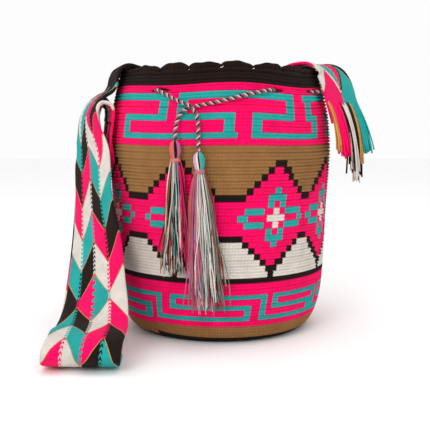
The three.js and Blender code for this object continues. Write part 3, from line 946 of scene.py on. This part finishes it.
band_tints = np.concatenate([
    YARNS[band_cells].reshape(-1, 3), YARNS[band_cells].reshape(-1, 3),
    YARNS[band_cells[:, 0]], YARNS[band_cells[:, -1]],
    YARNS[band_cells[0]], YARNS[band_cells[-1]],
])
strap = piece_from_arrays(
    "strap_band", np.concatenate([front.reshape(-1, 3), back.reshape(-1, 3)]),
    [band_faces], band_tints,
)
add_uv(strap, np.tile(side / MM, 2 * rows), np.tile((band_run / MM).ravel(), 2))
strap.data.materials.append(band_yarn)
print("strap faces", len(strap.data.polygons))

# %% [markdown]
# ## The fringes
#
# At both ends of the strap its warp yarns run on as a loose fringe. Each yarn is a thin tube that
# starts in the band and hangs down on a way of its own.

# %% Hang the loose yarns
chance = np.random.default_rng(7)
BAND_WIDE = 74
YARNS_WIDE = 73
RIGHT_YARNS = 160
LEFT_YARNS = 84


def fringe(name, start, start_rear, stops, colours, lengths, count):
    """Yarns side by side that follow a few stops down from a band's end."""
    steps = 12
    line = smooth_curve(np.array([start] + [stop[:3] for stop in stops]) * MM, 8)
    spread = np.interp(
        np.linspace(0, len(stops), len(line)), range(len(stops) + 1),
        [BAND_WIDE] + [stop[3] for stop in stops],
    ) / BAND_WIDE
    paths, radii, tints = [], [], []
    for yarn in range(count):
        share = (yarn + chance.uniform(0.2, 0.8)) / count
        keep = np.interp(share, np.linspace(0, 1, len(lengths)), lengths) * chance.uniform(0.86, 1)
        rows_down = np.linspace(chance.uniform(0, 0.12), keep, steps) * (len(line) - 1)
        centre = np.stack([np.interp(rows_down, range(len(line)), part) for part in line.T], 1)
        wide = np.interp(rows_down, range(len(line)), spread)
        down = np.linspace(0, 1, steps)
        rear = np.array([*start_rear, 0]) / np.linalg.norm(start_rear)
        out = np.array([rear[1], -rear[0], 0])
        sway = chance.normal(0, 2.6) * down**1.5 + chance.normal(0, 0.9) * np.sin(down * 5) * down
        depth = chance.uniform(-0.6, 1.0) + chance.normal(0, 1.8) * down
        path = centre + rear * (((share - 0.5) * YARNS_WIDE * wide + sway) * MM)[:, None]
        paths.append(path + out * (depth * MM)[:, None])
        radii.append(np.full(steps, chance.uniform(0.75, 1) * MM))
        band = colours[min(int(share * len(colours)), len(colours) - 1)]
        tints.append(np.array(band) * chance.uniform(0.8, 1.1))
    made = yarn_tubes(name, np.array(paths), np.array(radii), 4, tints)
    made.data.materials.append(loose_yarn)
    return made


fringe_right = fringe(
    "fringe_right", (134.6, -33.9, 256), (0.578, 0.816),
    [(142.2, -36.2, 236, 74), (147.5, -36.8, 214, 76), (150, -36.5, 192, 79),
     (151, -36.5, 163, 80)],
    [GOLD, PINK, PINK, PINK, BROWN, WHITE, WHITE, BROWN, GOLD, TEAL, TEAL, TEAL],
    [0.64, 0.72, 0.74, 0.76, 0.98, 1.0, 0.93, 0.7, 0.7, 0.7], RIGHT_YARNS,
)
fringe_left = fringe(
    "fringe_left", (-122.3, -30.7, 234), (-0.242, 0.97),
    [(-124.6, -31.2, 215, 74), (-124.3, -31.1, 198, 72), (-123.6, -31, 181, 70)],
    [PINK, PINK, PINK, WHITE, BROWN, PINK, PINK, TEAL],
    [0.8, 1, 0.95, 0.9, 1, 0.95], LEFT_YARNS,
)
print("fringe yarns", RIGHT_YARNS + LEFT_YARNS)

# %% [markdown]
# ## The seams
#
# A short zigzag of dark yarn holds each end of the strap, the right one where the band leaves the
# rim and the left one on the wall.

# %% Sew the zigzags
SEAM_STITCHES = 10
SEAM_WIDE = 58 * MM
SEAM_TALL = 4 * MM


def seam(name, share, face_side):
    run = share * strap_length
    place, across, out = on_strap(np.array([run]))
    ahead, _, _ = on_strap(np.array([run + MM]))
    along = (ahead - place)[0] / MM
    corners = []
    for stitch in range(SEAM_STITCHES):
        sideways = (stitch / (SEAM_STITCHES - 1) - 0.5) * SEAM_WIDE
        level = (-0.5 if stitch % 2 == 0 else 0.5) * SEAM_TALL
        lift = face_side * (STRAP_THICK / 2 + 0.45 * MM)
        corners.append(place[0] + across[0] * sideways + along * level + out[0] * lift)
    _, path = even_steps(smooth_curve(corners, 6), 64)
    made = yarn_tubes(name, path[None], np.full((1, 64), 0.6 * MM), 6, [BROWN])
    made.data.materials.append(sewing_yarn)
    return made


seam_right = seam("seam_right", 0.06, 1)
seam_left = seam("seam_left", 0.98, -1)
print("two seams")

# %% [markdown]
# ## The tassels
#
# Each tassel is a bundle of yarn folded over the end of the cord. The fold makes a small ribbed
# head, a yarn wound tightly round the neck holds it, and the cut ends hang down as a skirt. The
# yarns of one colour lie together, so the colours are chosen by their place round the tassel.

# %% The heads, the wound necks and the skirts
SALMON = (0.62, 0.13, 0.12)
MAUVE = (0.5, 0.12, 0.26)
LILAC = (0.62, 0.36, 0.5)
GREY_TEAL = (0.16, 0.3, 0.28)
RUST = (0.3, 0.09, 0.05)
TASSELS = [
    dict(side="left", top=(-45, -126, 214.6), lean=0.3, head=7, neck=4.4, skirt=12.5, long=135,
         flat=0.52, strands=165, seed=11,
         head_tints=[SALMON, SALMON, BROWN, BROWN, MAUVE, MAUVE],
         skirt_tints=[RUST, SALMON, BROWN, GREY_TEAL, TEAL, WHITE, WHITE, BROWN, PINK, MAUVE,
                      SALMON]),
    dict(side="right", top=(-21.5, -132.5, 203.2), lean=3.2, head=7, neck=4.6, skirt=17, long=160,
         flat=0.42, strands=195, seed=23,
         head_tints=[LILAC, WHITE, BROWN, GREY_TEAL, TEAL, TEAL],
         skirt_tints=[SALMON, MAUVE, LILAC, WHITE, PINK, WHITE, WHITE, BROWN, GREY_TEAL,
                      GREY_TEAL, RUST]),
]
NECK_DROP = 18
TIE_TALL = 5
GOLDEN_TURN = 2.399963
LOCKS = 14


def tassel_place(points, tassel):
    """Tilts points about the top of the tassel and moves them there."""
    tilt = math.radians(tassel["lean"])
    turned = points.copy()
    turned[..., 0] = points[..., 0] * math.cos(tilt) - points[..., 2] * math.sin(tilt)
    turned[..., 2] = points[..., 2] * math.cos(tilt) + points[..., 0] * math.sin(tilt)
    return (turned + np.array(tassel["top"])) * MM


def tassel_head(tassel):
    ribs, fine = 20, 5
    columns = ribs * fine
    levels = np.linspace(0, 1, 22)
    depth = -levels * (NECK_DROP + 1)
    outline = np.interp(levels, [0, 0.04, 0.2, 0.42, 0.62, 0.82, 1],
                        [0.25, 0.5, 0.86, 1, 0.95, 0.8, 1.1 * tassel["neck"] / tassel["head"]])
    turn = np.linspace(0, 2 * np.pi, columns, endpoint=False)
    twist_turn = turn[None, :] + levels[:, None] * 0.25
    rib = 1 - 0.1 * (np.cos(turn * ribs)[None, :] > 0.55)
    spread = 0.84 * tassel["head"] * outline[:, None] * rib
    points = np.stack([
        spread * np.sin(twist_turn), -spread * np.cos(twist_turn) * tassel["flat"],
        np.broadcast_to(depth[:, None], spread.shape),
    ], -1)
    index = np.arange(points.size // 3).reshape(len(levels), columns)
    beside = np.roll(index, -1, axis=1)
    skin = np.stack([index[1:], beside[1:], beside[:-1], index[:-1]], -1).reshape(-1, 4)
    caps = np.stack([index[0], index[-1][::-1]])
    tints = tassel["head_tints"]
    leaning = np.sin(turn.reshape(-1, fine).mean(1))
    pick = np.clip(((leaning + 1) / 2 * len(tints)).astype(int), 0, len(tints) - 1)
    per_rib = np.array(tints)[pick]
    per_face = np.tile(np.repeat(per_rib, fine, axis=0), (len(levels) - 1, 1))
    placed = tassel_place(points.reshape(-1, 3), tassel)
    made = piece_from_arrays(
        f"tassel_head_{tassel['side']}", placed, [skin, caps],
        np.concatenate([per_face, per_rib[:1], per_rib[:1]]),
    )
    add_uv(made, np.tile(turn / (2 * np.pi) * ribs, len(levels)), np.repeat(-depth, columns))
    made.data.materials.append(tassel_yarn)
    return made


def tassel_tie(tassel, tint):
    turns, steps = 4, 24
    share = np.linspace(0, 1, turns * steps)
    angle = share * turns * 2 * np.pi
    spread = tassel["neck"] + 0.3
    path = np.stack([
        spread * np.sin(angle), -spread * np.cos(angle) * (tassel["flat"] + 0.1),
        -NECK_DROP - 0.4 - share * (TIE_TALL - 1.9),
    ], -1)
    placed = tassel_place(path, tassel)
    made = yarn_tubes(
        f"tassel_tie_{tassel['side']}", placed[None], np.full((1, len(share)), 0.48 * MM), 6, [tint]
    )
    made.data.materials.append(sewing_yarn)
    return made


def tassel_skirt(tassel):
    luck = np.random.default_rng(tassel["seed"])
    count, steps = tassel["strands"], 14
    down = np.linspace(0, 1, steps)
    paths, radii, tints = [], [], []
    locks = luck.normal(0, 1, (LOCKS, 3))
    for strand in range(count):
        lock = locks[strand % LOCKS]
        out = math.sqrt((strand + 0.5) / count)
        turn = strand * GOLDEN_TURN + luck.normal(0, 0.15)
        side, deep = out * math.sin(turn), -out * math.cos(turn)
        start, neck = NECK_DROP - 1, tassel["neck"]
        cut = tassel["long"] * luck.uniform(0.82, 1.03)
        open_up = np.interp(down, [0, 0.06, 0.25, 0.6, 1], [0.86, 1.15, 1.9, 2.3, 2.6])
        reach = neck + (tassel["skirt"] - neck) * (open_up - 0.86) / 1.74
        reach[0] = neck * 0.85
        roam = (luck.normal(0, 2.2) * np.sin(down * 3.1 + luck.uniform(0, 3)) * down
                + luck.normal(0, 1.3) * np.sin(down * 9 + luck.uniform(0, 6)) * down
                + luck.normal(0, 2.0) * down**2 + 2.2 * lock[0] * down**2
                + 1.5 * lock[1] * np.sin(down * 5 + lock[2]) * down)
        ripple = luck.normal(0, 0.7) * np.sin(down * 6 + luck.uniform(0, 6)) * down
        path = np.stack([
            side * reach + roam,
            deep * reach * tassel["flat"] + ripple,
            -(start + down * (cut - start)),
        ], -1)
        paths.append(tassel_place(path, tassel))
        thin = luck.uniform(0.38, 0.66) * MM
        radii.append(thin * np.interp(down, [0, 0.05, 0.9, 1], [0.8, 1, 1, 0.7]))
        yarns = tassel["skirt_tints"]
        place = np.clip((side * 0.5 + 0.5) + luck.normal(0, 0.17), 0, 0.999)
        tints.append(np.array(yarns[int(place * len(yarns))]) * luck.uniform(0.75, 1.15))
    made = yarn_tubes(
        f"tassel_skirt_{tassel['side']}", np.array(paths), np.array(radii), 4, np.array(tints)
    )
    made.data.materials.append(tassel_yarn)
    return made


heads = [tassel_head(tassel) for tassel in TASSELS]
ties = [tassel_tie(TASSELS[0], (0.66, 0.2, 0.2)), tassel_tie(TASSELS[1], (0.55, 0.16, 0.22))]
skirts = [tassel_skirt(tassel) for tassel in TASSELS]
print("tassel strands", sum(tassel["strands"] for tassel in TASSELS))

# %% [markdown]
# ## What each piece stands for
#
# The measured part has eleven pieces. Each piece here says which of them it stands for, that it
# moves with the one body of the bag, and which finish it takes.

# %% Tie the pieces to the measured part
groups = [
    ((wall_lower, wall_middle, wall_upper, wall_top, scalloped_rim, base_cloth), "bag_body",
     "crocheted_cloth"),
    ((strap,), "strap", "woven_band"),
    ((fringe_right,), "strap_fringe_right", "loose_yarn"),
    ((fringe_left,), "strap_fringe_left", "loose_yarn"),
    ((seam_right,), "strap_seam_yarn_right", "sewing_yarn"),
    ((seam_left,), "strap_seam_yarn_left", "sewing_yarn"),
    ((drawstring,), "drawstring_cord", "twisted_cord"),
    ((heads[0], skirts[0]), "tassel_left", "tassel_yarn"),
    ((heads[1], skirts[1]), "tassel_right", "tassel_yarn"),
    ((ties[0],), "tassel_left_tie", "sewing_yarn"),
    ((ties[1],), "tassel_right_tie", "sewing_yarn"),
]
for made_pieces, node, finish in groups:
    for made in made_pieces:
        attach(made, "root")
        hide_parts(node)
drawn = [made for group in groups for made in group[0]]
for made in drawn:
    made.data.calc_loop_triangles()
counts = {made.name: len(made.data.loop_triangles) for made in drawn}
print("triangles", sum(counts.values()), counts)

# %% [markdown]
# ## The floor and the light
#
# A plain pale floor that runs into the background, a big soft light in front and one from above
# show the relief of the yarn without hard shadows.

# %% Floor, lights and background
bpy.ops.mesh.primitive_plane_add(size=8, location=(0, 0, 0))
floor = bpy.context.object
floor.name = "floor"
floor_paint = bpy.data.materials.new("floor_paint")
floor_paint.use_nodes = True
floor_shader = floor_paint.node_tree.nodes["Principled BSDF"]
floor_shader.inputs["Base Color"].default_value = (0.95, 0.95, 0.95, 1)
floor_shader.inputs["Roughness"].default_value = 0.9
floor.data.materials.append(floor_paint)
LIGHTS = [
    ("front_light", (-0.7, -1.6, 1.1), 0.8, 11),
    ("top_light", (0.2, -0.3, 1.8), 1.0, 5),
]
for name, spot, size, power in LIGHTS:
    bpy.ops.object.light_add(type="AREA", location=spot)
    lamp = bpy.context.object
    lamp.name = name
    lamp.data.size = size
    lamp.data.energy = power
    towards = np.array([0, 0, 0.14]) - np.array(spot)
    lamp.rotation_euler = (
        math.acos(-towards[2] / np.linalg.norm(towards)), 0,
        math.atan2(towards[1], towards[0]) - math.pi / 2,
    )
world = bpy.data.worlds.new("studio")
bpy.context.scene.world = world
world.use_nodes = True
world.node_tree.nodes["Background"].inputs["Color"].default_value = (1, 1, 1, 1)
world.node_tree.nodes["Background"].inputs["Strength"].default_value = 0.98
bpy.context.scene.view_settings.view_transform = "Standard"
print("lights", len(LIGHTS))
